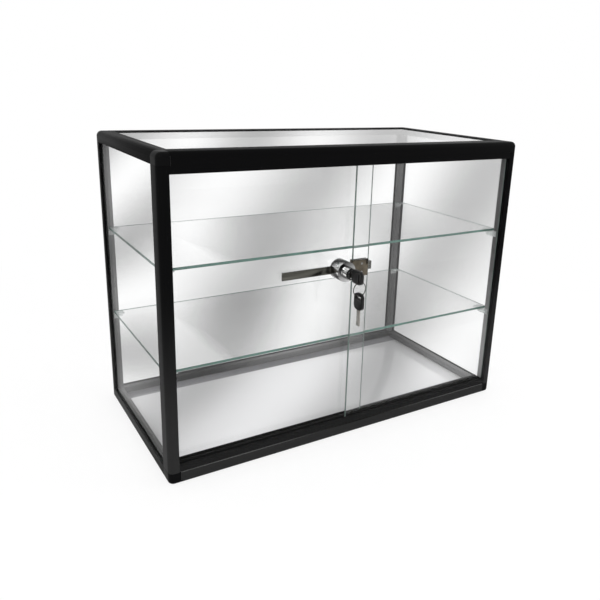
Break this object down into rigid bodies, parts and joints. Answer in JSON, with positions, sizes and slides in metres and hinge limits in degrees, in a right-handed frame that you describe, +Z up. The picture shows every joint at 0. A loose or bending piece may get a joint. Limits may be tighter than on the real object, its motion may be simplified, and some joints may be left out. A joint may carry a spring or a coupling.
{
  "type": "countertop display case",
  "caption": "Glazed countertop display case with a slim black frame, glass shelves, sliding glass doors and a ratchet bar lock with keys.",
  "frame": {"origin": "middle of the underside of the base, at the face that rests on the counter", "axes": "+X to the right along the width, -Y out of the door side, +Z up"},
  "size_m": [0.61, 0.355, 0.457],
  "materials": {
    "frame_black": "satin black powder coat",
    "corner_black": "satin",
    "clear_glass": "clear",
    "shelf_glass": "clear",
    "clip_clear": "gloss",
    "deck_white": "gloss laminate",
    "rubber_black": "matte",
    "screw_steel": "plain",
    "glide_nylon": "matte",
    "bar_steel": "brushed",
    "lock_chrome": "polished",
    "key_steel": "nickel plated",
    "key_plastic": "gloss"
  },
  "bodies": {
    "case": {"base_front_rail": "frame_black", "base_rear_rail": "frame_black", "base_left_rail": "frame_black", "base_right_rail": "frame_black", "top_front_rail": "frame_black", "top_rear_rail": "frame_black", "top_left_rail": "frame_black", "top_right_rail": "frame_black", "left_front_post": "frame_black", "right_front_post": "frame_black", "left_rear_post": "frame_black", "right_rear_post": "frame_black", "lower_track": "frame_black", "upper_track": "frame_black", "base_left_front_corner": "corner_black", "base_right_front_corner": "corner_black", "base_left_rear_corner": "corner_black", "base_right_rear_corner": "corner_black", "top_left_front_corner": "corner_black", "top_right_front_corner": "corner_black", "top_left_rear_corner": "corner_black", "top_right_rear_corner": "corner_black", "top_pane": "clear_glass", "left_pane": "clear_glass", "right_pane": "clear_glass", "back_pane": "clear_glass", "deck_board": "deck_white", "door_bumpers": "rubber_black", "corner_screws": "screw_steel", "track_screws": "screw_steel", "upper_shelf": "shelf_glass", "lower_shelf": "shelf_glass", "upper_shelf_clips": "clip_clear", "lower_shelf_clips": "clip_clear"},
    "left_door": {"left_door_glass": "clear_glass", "left_door_glides": "glide_nylon", "ratchet_bar": "bar_steel", "bar_pad": "rubber_black"},
    "right_door": {"right_door_glass": "clear_glass", "right_door_glides": "glide_nylon", "lock_housing": "lock_chrome", "lock_saddle": "lock_chrome", "saddle_screws": "screw_steel"},
    "lock_plug": {"lock_plug": "lock_chrome"},
    "lock_pawl": {"lock_pawl": "screw_steel"},
    "key": {"key_blade": "key_steel", "key_head": "key_plastic"},
    "key_ring": {"key_ring": "lock_chrome"},
    "spare_key": {"spare_key_blade": "key_steel", "spare_key_head": "key_plastic"}
  },
  "joints": [
    {"name": "left_door_slide", "type": "slide", "parent": "case", "child": "left_door", "axis": [1, 0, 0], "range_m": [0, 0.264]},
    {"name": "right_door_slide", "type": "slide", "parent": "case", "child": "right_door", "axis": [1, 0, 0], "range_m": [-0.242, 0]},
    {"name": "plug_turn", "type": "hinge", "parent": "right_door", "child": "lock_plug", "pos_m": [-0.03, -0.1605, 0.2755], "axis": [0, 1, 0], "range_deg": [0, 90]},
    {"name": "pawl_lift", "type": "slide", "parent": "right_door", "child": "lock_pawl", "axis": [0, 0, 1], "range_m": [0, 0.0025]},
    {"name": "key_pull", "type": "slide", "parent": "lock_plug", "child": "key", "axis": [0, -1, 0], "range_m": [0, 0.026]},
    {"name": "ring_swing", "type": "hinge", "parent": "key", "child": "key_ring", "pos_m": [-0.03, -0.1925, 0.2695], "axis": [1, 0, 0], "range_deg": [-40, 15]},
    {"name": "spare_key_swing", "type": "hinge", "parent": "key_ring", "child": "spare_key", "pos_m": [-0.03, -0.1925, 0.2485], "axis": [1, 0, 0], "range_deg": [-40, 15]}
  ],
  "couplings": [
    {"joint": "pawl_lift", "follows": "plug_turn", "m_per_rad": 0.0015915}
  ]
}
